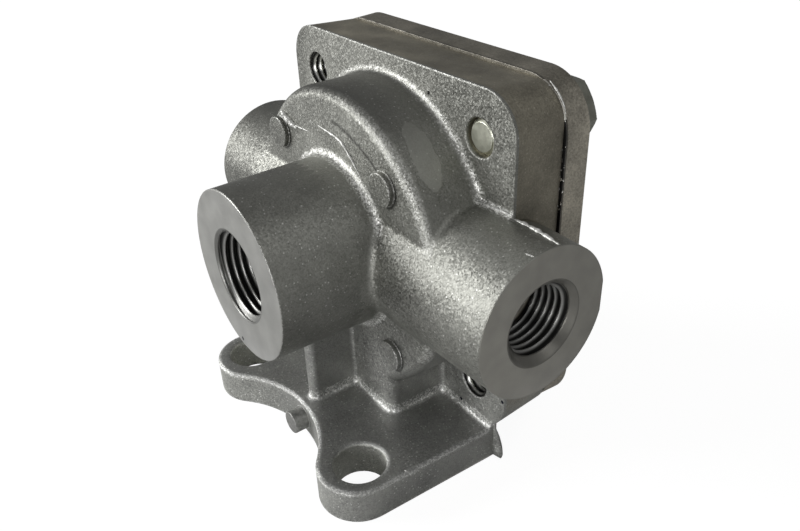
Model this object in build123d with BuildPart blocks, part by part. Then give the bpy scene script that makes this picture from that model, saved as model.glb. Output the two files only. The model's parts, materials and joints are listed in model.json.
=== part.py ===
from build123d import *
import math
import os

# Quick exhaust valve with a foot. Millimetres, +Z up, the supply port faces -Y.
# The origin is on the underside of the foot, midway between its two bolt holes.

# Flange with its screw pitch, and the dome over the valve chamber
flange_size = 63.8
flange_front_y = 23.85
flange_corner = 7.0
flange_thickness = 10.5
flange_draft = 2.9
screw_edge_distance = 8.1
screw_spacing = flange_size - 2 * screw_edge_distance
dome_to_screws = 5.66
dome_radius = screw_spacing / math.sqrt(2) - dome_to_screws
dome_depth = 12.0
dome_edge_round = 2.0
column_width = 28.6
column_corner_round = 1.5

# Gap between the foot's top face and the flange, which sets the height of the port axes
foot_thickness = 7.1
foot_to_flange = 0.3
port_height = foot_thickness + foot_to_flange + flange_size / 2
side_axis_forward = 2.2

# Port bosses, with the draft that lets the casting leave its die
front_boss_radius = 15.35
front_boss_reach = 32.6
front_boss_rise = 0.3
side_boss_radius = 13.0
side_boss_reach = 41.8
boss_draft = 1.0

# Foot, the heel behind it and the rib under the supply boss
foot_side_margin = 3.3
foot_half_width = flange_size / 2 - foot_side_margin
foot_side_slant = 0.9
foot_front_half_width = foot_half_width - foot_side_slant
foot_ear_radius = 7.6
foot_hole_radius = 4.9
foot_hole_margin = 7.1
foot_hole_spacing = 2 * (foot_front_half_width - foot_hole_margin)
foot_front_mid = 0.1
foot_edge_round = 0.3
foot_sole_round = 0.3
heel_thickness = 1.5
heel_height = 10.0
rib_width = 3.2
rib_front = 21.6
rib_edge_round = 1.4

# Fillets in the inner corners of the casting
root_fillet = 1.3
foot_fillet = 1.0
rib_fillet = 0.8

# Ports: 3/8-18 taper pipe thread in front, 1/4-18 at the sides
supply_thread_radius = 7.35
supply_thread_length = 15.0
supply_mouth_radius = 8.45
supply_passage_radius = 5.5
delivery_thread_radius = 5.7
delivery_thread_length = 12.0
delivery_mouth_radius = 7.4
delivery_passage_radius = 4.0

# Valve chamber, the inlet seat in its floor and the diaphragm
chamber_margin = 5.5
chamber_radius = dome_radius - chamber_margin
dome_wall = 3.0
inlet_seat_height = 1.0
inlet_seat_width = 2.0
diaphragm_thickness = 2.0
diaphragm_clearance = 0.3
diaphragm_travel = 1.8
diaphragm_button_radius = 4.4
diaphragm_button_height = 1.5
air_notch_count = 8
air_notch_radius = 2.8

# Spring and the seat ring that it stands on
spring_wire = 1.2
spring_turns = 4.5
spring_lip_clearance = 0.4
spring_seat_width = 3.6
spring_seat_thickness = 0.9
spring_seat_lip = 0.9
spring_seat_lip_height = 1.6
spring_seat_clearance = 0.5

# Cover with the exhaust seat tube and the exhaust window
cover_overhang = 0.2
cover_size = flange_size + 2 * cover_overhang
cover_thickness = 5.2
cover_corner = 9.0
cover_draft = 2.9
cover_edge_round = 0.3
seat_tube_bore = 7.0
seat_tube_wall = 2.6
exhaust_boss_radius = 15.0
exhaust_boss_height = 3.2
exhaust_window_radius = 9.0
spoke_count = 3
spoke_width = 2.4
spoke_depth = 3.0
hub_radius = 3.6

# Exhaust flap with its washer and screw
flap_radius = 11.0
flap_thickness = 1.6
flap_clearance = 0.8
flap_recess_depth = 2.4
flap_washer_radius = 4.8
flap_washer_thickness = 0.9
flap_screw_radius = 1.95
flap_screw_length = 5.0
flap_screw_head_radius = 3.5
flap_screw_head_height = 2.2
flap_screw_slot = 0.8
flap_screw_clearance = 0.05

# Ring that seals the cover to the body
ring_groove_margin = 2.9
ring_groove_radius = chamber_radius + ring_groove_margin
ring_groove_width = 2.6
ring_groove_depth = 1.4
ring_width = 2.2

# Hexagon cap screws, long and short ones crosswise
screw_radius = 3.17
long_screw_length = 15.2
short_screw_length = 11.3
screw_head_across_flats = 11.1
screw_head_height = 4.0
screw_head_chamfer = 30.0
screw_head_turn = 5.0
screw_tip_chamfer = 0.6
screw_clearance = 0.05
screw_hole_clearance = 0.25
screw_mouth_chamfer = 0.15

# Raised marks of the ejector pins, as x and height over the port axis, and the stub on the foot
pin_mark_places = ((-18.3, 15.7), (14.9, 15.7), (15.1, -17.0))
pin_mark_radius = 2.9
pin_mark_height = 1.0
pin_stub_radius = 1.9
pin_stub_height = 3.3
pin_stub_reach = 2.2

os.makedirs("parts", exist_ok=True)

# Sizes worked out from the values above
tiny = 0.01
ear_x = foot_front_half_width - foot_ear_radius
ear_spread = ear_x**2 + foot_front_mid**2 - foot_ear_radius**2
notch_radius = ear_spread / (2 * (foot_ear_radius + foot_front_mid))
notch_y = foot_front_mid - notch_radius
dome_front_y = flange_front_y - dome_depth
seam_y = flange_front_y + flange_thickness
cover_back_y = seam_y + cover_thickness
side_axis_y = flange_front_y - side_axis_forward
chamber_depth = flange_thickness + dome_depth - dome_wall
chamber_floor_y = seam_y - chamber_depth
diaphragm_y = chamber_floor_y + inlet_seat_height
diaphragm_back_y = diaphragm_y + diaphragm_thickness
diaphragm_radius = chamber_radius - diaphragm_clearance
tube_end_y = diaphragm_back_y + diaphragm_travel
exhaust_boss_y = cover_back_y + exhaust_boss_height
flap_seat_y = exhaust_boss_y - flap_recess_depth
screw_hole_radius = screw_radius + screw_clearance


# A plane across the valve's axis at a given y, that faces the front or the back
def facing_front(y):
    return Plane((0, y, port_height), x_dir=(1, 0, 0), z_dir=(0, -1, 0))


def facing_back(y):
    return Plane((0, y, port_height), x_dir=(-1, 0, 0), z_dir=(0, 1, 0))


# A plane across the axis of the delivery ports, side 1 on the right and -1 on the left
def facing_side(x, side):
    return Plane((side * x, side_axis_y, port_height), x_dir=(0, side, 0), z_dir=(side, 0, 0))


# Radius that a drafted boss has at its root
def root_radius(radius, reach):
    return radius + reach * math.tan(math.radians(boss_draft))


# Edges where two faces meet in an inner corner: a point just outside both is inside the metal
def inner_corners(solid):
    probe = 0.02
    owners = {}
    for face in solid.faces():
        for edge in face.edges():
            owners.setdefault(edge, []).append(face)
    found = []
    for edge, faces in owners.items():
        if len(faces) != 2:
            continue
        middle = edge @ 0.5
        spread = faces[0].normal_at(middle) - faces[1].normal_at(middle)
        if spread.length > 0.15 and solid.is_inside(middle + spread.normalized() * probe):
            found.append(edge)
    return found


# Where an inner corner lies: behind the flange's face, by the rib, on the foot or higher up
def place_of(edge):
    middle = edge @ 0.5
    if middle.Y > flange_front_y + tiny:
        return "back"
    if abs(middle.X) < rib_width and middle.Z < port_height - front_boss_radius + 1:
        return "rib"
    if middle.Z > foot_thickness + 2 * root_fillet:
        return "high"
    return "foot" if middle.Y > flange_front_y - 1 else "column"


# Edges of the foot's top face along its ears, its hollow front and its sides
def on_foot_outline(edge):
    start, middle = edge @ 0, edge @ 0.5
    if max(abs(start.Z - foot_thickness), abs(middle.Z - foot_thickness)) > tiny:
        return False
    at_side = edge.geom_type == GeomType.LINE and abs(middle.X) > foot_front_half_width - tiny
    at_front = edge.geom_type == GeomType.CIRCLE and middle.Y < foot_ear_radius
    return middle.Y < flange_front_y and (at_side or at_front)


# Cast body
with BuildPart() as body:
    # Flange with rounded corners
    with BuildSketch(facing_back(flange_front_y)):
        RectangleRounded(flange_size, flange_size, flange_corner)
    extrude(amount=flange_thickness, taper=flange_draft)

    # Dome and the column that carries it down to the foot
    with BuildSketch(facing_front(flange_front_y)):
        Circle(dome_radius)
        Rectangle(column_width, port_height, align=(Align.CENTER, Align.MAX))
    extrude(amount=dome_depth)
    corners = [edge for edge in inner_corners(body.part) if (edge @ 0.5).Y < flange_front_y - 1]
    fillet(corners, column_corner_round)
    front_edges = body.edges().group_by(Axis.Y)[0]
    rim = [edge for edge in front_edges if (edge @ 0.5).Z > foot_thickness / 2]
    fillet(rim, dome_edge_round)

    # Heel that joins the foot to the flange
    with BuildSketch(Plane.XY):
        with Locations((0, flange_front_y)):
            Rectangle(2 * foot_half_width, heel_thickness, align=(Align.CENTER, Align.MIN))
    extrude(amount=heel_height)

    # Foot with two round ears and a hollow front edge
    with BuildSketch(Plane.XY):
        touch_x = ear_x * notch_radius / (notch_radius + foot_ear_radius)
        touch_y = notch_y * foot_ear_radius / (notch_radius + foot_ear_radius)
        rear_y = flange_front_y + heel_thickness
        with BuildLine():
            Line((foot_half_width, rear_y), (foot_half_width, flange_front_y))
            Line((foot_half_width, flange_front_y), (foot_front_half_width, 0))
            RadiusArc((foot_front_half_width, 0), (touch_x, touch_y), foot_ear_radius)
            RadiusArc((touch_x, touch_y), (-touch_x, touch_y), -notch_radius)
            RadiusArc((-touch_x, touch_y), (-foot_front_half_width, 0), foot_ear_radius)
            Line((-foot_front_half_width, 0), (-foot_half_width, flange_front_y))
            Line((-foot_half_width, flange_front_y), (-foot_half_width, rear_y))
            Line((-foot_half_width, rear_y), (foot_half_width, rear_y))
        make_face()
    extrude(amount=foot_thickness)

    # Supply boss in front and the rib under it
    with BuildSketch(facing_front(flange_front_y)):
        with Locations((0, front_boss_rise)):
            Circle(root_radius(front_boss_radius, front_boss_reach))
    extrude(amount=front_boss_reach, taper=boss_draft)
    with BuildSketch(Plane.XY) as rib_sketch:
        with Locations((0, flange_front_y - rib_front)):
            Rectangle(rib_width, rib_front, align=(Align.CENTER, Align.MIN))
        fillet(rib_sketch.vertices().group_by(Axis.Y)[0], rib_edge_round)
    extrude(amount=port_height)

    # Delivery bosses at the sides, trimmed flush with the seam
    for side in (1, -1):
        with BuildSketch(facing_side(0, side)):
            Circle(root_radius(side_boss_radius, side_boss_reach))
        extrude(amount=side_boss_reach, taper=boss_draft)
    with BuildSketch(facing_back(seam_y)):
        Rectangle(2 * side_boss_reach, flange_size)
    extrude(amount=side_boss_radius, mode=Mode.SUBTRACT)

    # Fillets in the inner corners: round bosses and dome, then on the foot, then along the rib
    for place, radius in (("high", root_fillet), ("foot", foot_fillet), ("rib", rib_fillet)):
        fillet([edge for edge in inner_corners(body.part) if place_of(edge) == place], radius)
    fillet([edge for edge in body.edges() if on_foot_outline(edge)], foot_edge_round)
    sole = body.faces().sort_by(Axis.Z)[0]
    fillet([edge for edge in sole.edges() if (edge @ 0.5).Y < flange_front_y], foot_sole_round)

    # Marks that the ejector pins left on the dome, and the stub on the foot's front edge
    for x, height in pin_mark_places:
        with BuildSketch(facing_front(dome_front_y + dome_edge_round)):
            with Locations((x, height)):
                Circle(pin_mark_radius)
        extrude(amount=dome_edge_round + pin_mark_height)
    with BuildSketch(Plane((0, foot_front_mid + 1, pin_stub_height), z_dir=(0, -1, 0))):
        Circle(pin_stub_radius)
    extrude(amount=pin_stub_reach + 1)

    # Valve chamber with the inlet seat left standing on its floor
    with BuildSketch(facing_back(chamber_floor_y)):
        Circle(chamber_radius)
        Circle(supply_passage_radius + inlet_seat_width, mode=Mode.SUBTRACT)
    extrude(amount=chamber_depth, mode=Mode.SUBTRACT)
    with BuildSketch(facing_back(diaphragm_y)):
        Circle(chamber_radius)
    extrude(amount=chamber_depth - inlet_seat_height, mode=Mode.SUBTRACT)

    # Supply port and its passage to the seat
    supply_face = facing_front(flange_front_y - front_boss_reach)
    with Locations(supply_face * Pos(0, front_boss_rise)):
        CounterSinkHole(
            radius=supply_thread_radius,
            counter_sink_radius=supply_mouth_radius,
            depth=supply_thread_length,
            counter_sink_angle=90,
        )
    with Locations(supply_face):
        Hole(radius=supply_passage_radius, depth=diaphragm_y - flange_front_y + front_boss_reach)

    # Delivery ports and their passages to the chamber
    for side in (1, -1):
        with Locations(facing_side(side_boss_reach, side)):
            CounterSinkHole(
                radius=delivery_thread_radius,
                counter_sink_radius=delivery_mouth_radius,
                depth=delivery_thread_length,
                counter_sink_angle=90,
            )
            Hole(radius=delivery_passage_radius, depth=side_boss_reach - chamber_radius / 2)

    # Holes for the cover screws, softened where they come out in front
    with Locations(facing_back(seam_y)):
        with GridLocations(screw_spacing, screw_spacing, 2, 2):
            Hole(radius=screw_hole_radius, depth=flange_thickness)
    circles = body.edges().filter_by(GeomType.CIRCLE)
    screw_circles = [edge for edge in circles if abs(edge.radius - screw_hole_radius) < tiny]
    mouths = [edge for edge in screw_circles if abs(edge.arc_center.Y - flange_front_y) < tiny]
    chamfer(mouths, screw_mouth_chamfer)

    # Groove for the ring that seals the cover
    with BuildSketch(facing_front(seam_y)):
        Circle(ring_groove_radius + ring_groove_width / 2)
        Circle(ring_groove_radius - ring_groove_width / 2, mode=Mode.SUBTRACT)
    extrude(amount=ring_groove_depth, mode=Mode.SUBTRACT)

    # Bolt holes of the foot
    with Locations(Plane.XY.offset(foot_thickness)):
        with GridLocations(foot_hole_spacing, 1, 2, 1):
            Hole(radius=foot_hole_radius, depth=foot_thickness)
body.part.label = "body"
export_step(body.part, "parts/body.step")

# Cover: plate, exhaust boss with the flap's recess, seat tube and the spoked window
with BuildPart() as cover:
    with BuildSketch(facing_front(cover_back_y)):
        RectangleRounded(cover_size, cover_size, cover_corner)
    extrude(amount=cover_thickness, taper=cover_draft)
    fillet(cover.faces().sort_by(Axis.Y)[-1].edges(), cover_edge_round)
    with BuildSketch(facing_back(cover_back_y)):
        Circle(root_radius(exhaust_boss_radius, exhaust_boss_height))
    extrude(amount=exhaust_boss_height, taper=boss_draft)
    fillet(cover.faces().sort_by(Axis.Y)[-1].edges(), cover_edge_round)
    with BuildSketch(facing_front(seam_y)):
        Circle(seat_tube_bore + seat_tube_wall)
    extrude(amount=seam_y - tube_end_y)
    with BuildSketch(facing_front(exhaust_boss_y)):
        Circle(flap_radius + flap_clearance)
    extrude(amount=flap_recess_depth, mode=Mode.SUBTRACT)
    with BuildSketch(facing_front(flap_seat_y)):
        Circle(exhaust_window_radius)
        Circle(hub_radius, mode=Mode.SUBTRACT)
        with PolarLocations(0, spoke_count, start_angle=90):
            Rectangle(
                exhaust_window_radius,
                spoke_width,
                align=(Align.MIN, Align.CENTER),
                mode=Mode.SUBTRACT,
            )
    extrude(amount=spoke_depth, mode=Mode.SUBTRACT)
    with BuildSketch(facing_front(flap_seat_y - spoke_depth)):
        Circle(seat_tube_bore)
    extrude(amount=flap_seat_y - spoke_depth - tube_end_y, mode=Mode.SUBTRACT)
    with Locations(facing_back(flap_seat_y)):
        Hole(radius=flap_screw_radius + flap_screw_clearance, depth=spoke_depth)
    with Locations(facing_back(cover_back_y)):
        with GridLocations(screw_spacing, screw_spacing, 2, 2):
            Hole(radius=screw_radius + screw_hole_clearance, depth=cover_thickness)
cover.part.label = "cover"
export_step(cover.part, "parts/cover.step")

# Sealing ring in its groove, flattened by the cover
with BuildPart() as cover_o_ring:
    with BuildSketch(facing_front(seam_y)):
        Circle(ring_groove_radius + ring_width / 2)
        Circle(ring_groove_radius - ring_width / 2, mode=Mode.SUBTRACT)
    extrude(amount=ring_groove_depth)
    fillet(cover_o_ring.edges().filter_by(GeomType.CIRCLE), ring_groove_depth / 3)
cover_o_ring.part.label = "cover_o_ring"
export_step(cover_o_ring.part, "parts/cover_o_ring.step")

# Diaphragm: a rubber disc with air notches and a button that points into the supply passage
with BuildPart() as diaphragm:
    with BuildSketch(facing_back(diaphragm_y)):
        Circle(diaphragm_radius)
        with PolarLocations(diaphragm_radius, air_notch_count):
            Circle(air_notch_radius, mode=Mode.SUBTRACT)
    extrude(amount=diaphragm_thickness)
    with BuildSketch(facing_front(diaphragm_y)):
        Circle(diaphragm_button_radius)
    extrude(amount=diaphragm_button_height)
    fillet(diaphragm.faces().sort_by(Axis.Y)[0].edges(), diaphragm_button_height * 0.6)
diaphragm.part.label = "diaphragm"
export_step(diaphragm.part, "parts/diaphragm.step")

# Seat ring of the spring: a flat ring with a lip that keeps the spring round the tube
seat_inner = seat_tube_bore + seat_tube_wall + spring_seat_clearance
with BuildPart() as spring_seat:
    with BuildSketch(facing_back(diaphragm_back_y)):
        Circle(seat_inner + spring_seat_width)
        Circle(seat_inner, mode=Mode.SUBTRACT)
    extrude(amount=spring_seat_thickness)
    with BuildSketch(facing_back(diaphragm_back_y)):
        Circle(seat_inner + spring_seat_lip)
        Circle(seat_inner, mode=Mode.SUBTRACT)
    extrude(amount=spring_seat_lip_height)
spring_seat.part.label = "spring_seat"
export_step(spring_seat.part, "parts/spring_seat.step")

# Coil spring with ground ends, between its seat ring and the cover
spring_foot_y = diaphragm_back_y + spring_seat_thickness
spring_length = seam_y - spring_foot_y
spring_radius = seat_inner + spring_seat_lip + spring_lip_clearance + spring_wire / 2
with BuildPart() as diaphragm_spring:
    with BuildLine():
        coil = Helix(
            pitch=spring_length / spring_turns,
            height=spring_length,
            radius=spring_radius,
            center=(0, spring_foot_y, port_height),
            direction=(0, 1, 0),
        )
    with BuildSketch(Plane(coil @ 0, z_dir=coil % 0)):
        Circle(spring_wire / 2)
    sweep(is_frenet=True)
    for end, side in ((spring_foot_y, 1), (seam_y, -1)):
        with BuildSketch(facing_front(end) if side == 1 else facing_back(end)):
            Circle(spring_radius + spring_wire)
        extrude(amount=spring_wire, mode=Mode.SUBTRACT)
diaphragm_spring.part.label = "diaphragm_spring"
export_step(diaphragm_spring.part, "parts/diaphragm_spring.step")

# Four cap screws, numbered round the cover from its top right corner as seen from the front
half_pitch = screw_spacing / 2
corners = (
    (half_pitch, half_pitch, long_screw_length),
    (-half_pitch, half_pitch, short_screw_length),
    (-half_pitch, -half_pitch, long_screw_length),
    (half_pitch, -half_pitch, short_screw_length),
)
head_slope = 1 / math.tan(math.radians(screw_head_chamfer))
for number, (x, height, length) in enumerate(corners, start=1):
    with BuildPart() as screw:
        with BuildSketch(facing_back(cover_back_y)):
            with Locations((-x, height)):
                RegularPolygon(
                    screw_head_across_flats / 2, 6, major_radius=False, rotation=-screw_head_turn
                )
        extrude(amount=screw_head_height)
        with BuildSketch(facing_back(cover_back_y)):
            with Locations((-x, height)):
                Circle(screw_head_across_flats / 2 + screw_head_height * head_slope)
        extrude(
            amount=screw_head_height,
            taper=90 - screw_head_chamfer,
            mode=Mode.INTERSECT,
        )
        with BuildSketch(facing_front(cover_back_y)):
            with Locations((x, height)):
                Circle(screw_radius)
        extrude(amount=length)
        chamfer(screw.faces().sort_by(Axis.Y)[0].edges(), screw_tip_chamfer)
    screw.part.label = f"cover_screw_{number}"
    export_step(screw.part, f"parts/cover_screw_{number}.step")

# Rubber flap over the exhaust window, a little wider than it
with BuildPart() as exhaust_flap:
    with BuildSketch(facing_back(flap_seat_y)):
        Circle(flap_radius)
        Circle(flap_screw_radius + flap_screw_clearance, mode=Mode.SUBTRACT)
    extrude(amount=flap_thickness)
exhaust_flap.part.label = "exhaust_flap"
export_step(exhaust_flap.part, "parts/exhaust_flap.step")

# Washer and slotted pan head screw that hold the flap on the hub
flap_back_y = flap_seat_y + flap_thickness
with BuildPart() as flap_washer:
    with BuildSketch(facing_back(flap_back_y)):
        Circle(flap_washer_radius)
        Circle(flap_screw_radius + flap_screw_clearance, mode=Mode.SUBTRACT)
    extrude(amount=flap_washer_thickness)
flap_washer.part.label = "flap_washer"
export_step(flap_washer.part, "parts/flap_washer.step")

flap_head_y = flap_back_y + flap_washer_thickness
with BuildPart() as flap_screw:
    with BuildSketch(facing_back(flap_head_y)):
        Circle(flap_screw_head_radius)
    extrude(amount=flap_screw_head_height)
    fillet(flap_screw.faces().sort_by(Axis.Y)[-1].edges(), flap_screw_head_height * 0.4)
    with BuildSketch(facing_back(flap_head_y + flap_screw_head_height)):
        Rectangle(2 * flap_screw_head_radius + 1, flap_screw_slot)
    extrude(amount=-flap_screw_head_height / 2, mode=Mode.SUBTRACT)
    with BuildSketch(facing_front(flap_head_y)):
        Circle(flap_screw_radius)
    extrude(amount=flap_screw_length)
flap_screw.part.label = "flap_screw"
export_step(flap_screw.part, "parts/flap_screw.step")
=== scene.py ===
import json
import math
from types import SimpleNamespace
import bpy
import numpy as np
from mathutils import Matrix, Vector

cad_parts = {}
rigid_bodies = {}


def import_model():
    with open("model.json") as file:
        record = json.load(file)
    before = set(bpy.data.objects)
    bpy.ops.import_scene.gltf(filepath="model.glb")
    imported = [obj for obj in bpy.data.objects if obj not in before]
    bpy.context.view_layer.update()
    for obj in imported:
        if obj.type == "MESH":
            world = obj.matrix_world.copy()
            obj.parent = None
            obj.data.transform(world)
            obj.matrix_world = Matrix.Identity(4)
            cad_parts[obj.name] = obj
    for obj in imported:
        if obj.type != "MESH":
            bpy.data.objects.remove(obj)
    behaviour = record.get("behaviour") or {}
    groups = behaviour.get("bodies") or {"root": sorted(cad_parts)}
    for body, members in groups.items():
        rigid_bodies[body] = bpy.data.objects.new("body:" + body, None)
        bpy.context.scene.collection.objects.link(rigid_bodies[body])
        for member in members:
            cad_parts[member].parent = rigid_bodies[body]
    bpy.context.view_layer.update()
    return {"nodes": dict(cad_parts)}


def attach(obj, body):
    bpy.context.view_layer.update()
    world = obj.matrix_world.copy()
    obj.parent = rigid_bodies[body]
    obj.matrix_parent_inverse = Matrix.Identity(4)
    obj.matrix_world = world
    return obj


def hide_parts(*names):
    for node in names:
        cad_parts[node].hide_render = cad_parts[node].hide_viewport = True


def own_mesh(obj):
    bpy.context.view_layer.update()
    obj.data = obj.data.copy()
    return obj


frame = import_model()
print("frame loaded:", len(frame["nodes"]), "nodes")

mm = 0.001

# Where things are on the valve, in millimetres
valve = {
    "axisHeight": 39.3,
    "supplyRise": 0.3,
    "flangeFront": 23.85,
    "seam": 34.35,
    "coverBack": 39.55,
    "domeFace": 11.85,
    "domeRadius": 28.0,
    "footTop": 7.1,
    "sideAxis": 21.65,
    "frontFace": -8.75,
    "sideFace": 41.8,
    "screwHalfPitch": 23.8,
}


# Camera: found from the photo, as a place in millimetres and three angles in degrees
shot = {
    "place": (107.0, -50.25, 107.8),
    "azimuth": 54.87,
    "elevation": 31.16,
    "roll": -2.23,
    "lens": 34.794,
    "sensor": 36.0,
    "slide": -0.5 / 800,
    "clip": (0.005, 20),
}


def setCamera():
    a, e, r = (math.radians(shot[k]) for k in ("azimuth", "elevation", "roll"))
    back = Vector((math.sin(a) * math.cos(e), -math.cos(a) * math.cos(e), math.sin(e)))
    right = (-back).cross(Vector((0, 0, 1))).normalized()
    down = (-back).cross(right)
    turnedRight = right * math.cos(r) - down * math.sin(r)
    turnedDown = right * math.sin(r) + down * math.cos(r)
    lens = bpy.data.cameras.new("camera")
    lens.lens = shot["lens"]
    lens.sensor_width = shot["sensor"]
    lens.shift_x = shot["slide"]
    lens.shift_y = -shot["slide"]
    lens.clip_start, lens.clip_end = shot["clip"]
    camera = bpy.data.objects.new("camera", lens)
    bpy.context.scene.collection.objects.link(camera)
    turn = Matrix((turnedRight, -turnedDown, back)).transposed()
    camera.matrix_world = Matrix.Translation(Vector(shot["place"]) * mm) @ turn.to_4x4()
    bpy.context.scene.camera = camera


setCamera()
bpy.context.scene.view_settings.view_transform = "Standard"
print("camera set")


# Small helpers for node trees
def newMaterial(name):
    material = bpy.data.materials.new(name)
    material.use_nodes = True
    material.node_tree.nodes.clear()
    return material, material.node_tree


def put(tree, kind, settings=None, sockets=None):
    node = tree.nodes.new("ShaderNode" + kind)
    for key, value in (settings or {}).items():
        setattr(node, key, value)
    for key, value in (sockets or {}).items():
        value = value.socket if isinstance(value, Signal) else value
        if isinstance(value, bpy.types.NodeSocket):
            tree.links.new(value, node.inputs[key])
        else:
            node.inputs[key].default_value = value
    return node


# An output of a node. Sums, products and comparisons of signals add the nodes that work them out.
# For masks, which run from 0 to 1, | is the larger of two and ~ the opposite
class Signal:
    def __init__(self, node, output=0):
        self.tree, self.socket = node.id_data, node.outputs[output]

    def maths(self, operation, *terms):
        return Signal(put(self.tree, "Math", {"operation": operation}, dict(enumerate(terms))))

    def __add__(self, other):
        return self.maths("ADD", self, other)

    def __sub__(self, other):
        return self.maths("SUBTRACT", self, other)

    def __mul__(self, other):
        return self.maths("MULTIPLY", self, other)

    def __truediv__(self, other):
        return self.maths("DIVIDE", self, other)

    def __gt__(self, other):
        return self.maths("GREATER_THAN", self, other)

    def __lt__(self, other):
        return self.maths("LESS_THAN", self, other)

    def __or__(self, other):
        return self.maths("MAXIMUM", self, other)

    def __invert__(self):
        return self.maths("SUBTRACT", 1.0, self)

    def __abs__(self):
        return self.maths("ABSOLUTE", self)


# Signal of a node of which at least one input is a signal
def work(kind, settings, sockets, output=0):
    tree = next(value.tree for value in sockets.values() if isinstance(value, Signal))
    return Signal(put(tree, kind, settings, sockets), output)


def vector(operation, first, second=(0, 0, 0), output=0):
    return work("VectorMath", {"operation": operation}, {0: first, 1: second}, output)


def scaled(first, factor):
    return work("VectorMath", {"operation": "SCALE"}, {0: first, "Scale": factor})


def parts(whole):
    node = put(whole.tree, "SeparateXYZ", None, {0: whole})
    return [Signal(node, k) for k in range(3)]


def noise(place, scale, detail, roughness=0.5):
    sockets = {"Vector": place, "Scale": scale, "Detail": detail, "Roughness": roughness}
    return work("TexNoise", None, sockets)


# From first to last while the value goes from start to end, in a line or with soft ends
def ease(value, start, end, first=0.0, last=1.0):
    return work("MapRange", None, {0: value, 1: start, 2: end, 3: first, 4: last})


def softEase(value, start, end, first=0.0, last=1.0):
    settings = {"interpolation_type": "SMOOTHSTEP"}
    return work("MapRange", settings, {0: value, 1: start, 2: end, 3: first, 4: last})


# The same with the ends in millimetres, falling from 1 to 0
def fadeOut(value, start, end):
    return ease(value, start * mm, end * mm, 1.0, 0.0)


# Mix of two colours, and of two numbers, by a factor
def blend(share, first, second):
    first, second = (c if isinstance(c, Signal) else (*c, 1) for c in (first, second))
    return work("MixRGB", None, {0: share, 1: first, 2: second})


def mixed(share, first, second):
    return ~share * first + share * second


# Colour ramp from the look's dark to its light
def ramp(value, look, start, end):
    node = put(value.tree, "ValToRGB", None, {0: value})
    low, high = node.color_ramp.elements
    low.position, low.color = start, (*look["dark"], 1)
    high.position, high.color = end, (*look["light"], 1)
    return Signal(node)


# Roughness that follows a noise, from the look's smoothest to its dullest
def mottledRoughness(value, look):
    return ease(value, 0.3, 0.7, *look["roughness"])


# 1 where the value lies between two limits in millimetres, and 0 elsewhere
def between(value, low, high):
    return (value > low * mm) * (value < high * mm)


# The same with soft ends, half a millimetre wide
def softBand(value, low, high, soft=0.25):
    rise = softEase(value, (low - soft) * mm, (low + soft) * mm)
    fall = softEase(value, (high + soft) * mm, (high - soft) * mm)
    return rise * fall


# Distance in metres from an axis through a point
def axisDistance(place, axis, point):
    off = vector("SUBTRACT", place, tuple(v * mm for v in point))
    keep = tuple(0.0 if i == axis else 1.0 for i in range(3))
    return vector("LENGTH", vector("MULTIPLY", off, keep), output="Value")


def finishMaterial(tree, sockets):
    shader = put(tree, "BsdfPrincipled", None, sockets)
    put(tree, "OutputMaterial", None, {"Surface": shader.outputs[0]})


# Floor, backdrop and lamps. The floor and the surround show white to the camera, and the metal
# mirrors only a share of that white, because the valve was lit in a darker room
studio = {
    "floorSize": 6.0,
    "floorShade": 0.80,
    "floorGlow": 0.76,
    "glowStrength": 1.22,
    "roomShade": 0.19,
    "mirroredWhite": 0.06,
    "target": (0, 15, 38),
    "lamps": {
        "key": {"from": (-0.63, -0.71, 0.31), "distance": 1.60, "size": 0.85, "power": 19.5},
        "top": {"from": (0.62, 0.10, 0.78), "distance": 1.20, "size": 0.60, "power": 1.2},
        "front": {"from": (0.46, -0.87, 0.15), "distance": 1.20, "size": 0.50, "power": 4.6},
    },
}
white = (1, 1, 1, 1)


def setFloor():
    half = studio["floorSize"] / 2
    mesh = bpy.data.meshes.new("floor")
    corners = [(-half, -half, 0), (half, -half, 0), (half, half, 0), (-half, half, 0)]
    mesh.from_pydata(corners, [], [(0, 1, 2, 3)])
    floor = bpy.data.objects.new("floor", mesh)
    bpy.context.scene.collection.objects.link(floor)
    material, tree = newMaterial("paleFloor")
    rays = put(tree, "LightPath")
    shade = studio["floorShade"]
    lit = put(tree, "BsdfDiffuse", None, {"Color": (shade, shade, shade, 1)})
    glow = put(tree, "Emission", None, {"Color": white, "Strength": studio["glowStrength"]})
    seen = Signal(rays, "Is Camera Ray") | Signal(rays, "Is Transmission Ray")
    share = seen * studio["floorGlow"]
    mix = put(tree, "MixShader", None, {0: share, 1: lit.outputs[0], 2: glow.outputs[0]})
    put(tree, "OutputMaterial", None, {"Surface": mix.outputs[0]})
    mesh.materials.append(material)


def setSurround():
    world = bpy.data.worlds.new("surround")
    world.use_nodes = True
    tree = world.node_tree
    tree.nodes.clear()
    rays = put(tree, "LightPath")
    shade = studio["roomShade"]
    seen = Signal(rays, "Is Camera Ray") | Signal(rays, "Is Transmission Ray")
    share = seen | Signal(rays, "Is Glossy Ray") * studio["mirroredWhite"]
    strength = share * (1.0 - shade) + shade
    surround = put(tree, "Background", None, {"Color": white, "Strength": strength})
    put(tree, "OutputWorld", None, {"Surface": surround.outputs[0]})
    bpy.context.scene.world = world


def setLamps():
    target = Vector(studio["target"]) * mm
    for name, lamp in studio["lamps"].items():
        light = bpy.data.lights.new(name, "AREA")
        light.shape = "DISK"
        light.size = lamp["size"]
        light.energy = lamp["power"]
        stand = bpy.data.objects.new(name, light)
        bpy.context.scene.collection.objects.link(stand)
        direction = Vector(lamp["from"]).normalized()
        stand.location = target + direction * lamp["distance"]
        stand.rotation_mode = "QUATERNION"
        stand.rotation_quaternion = direction.to_track_quat("Z", "Y")


setFloor()
setSurround()
setLamps()
print("studio set")


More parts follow.
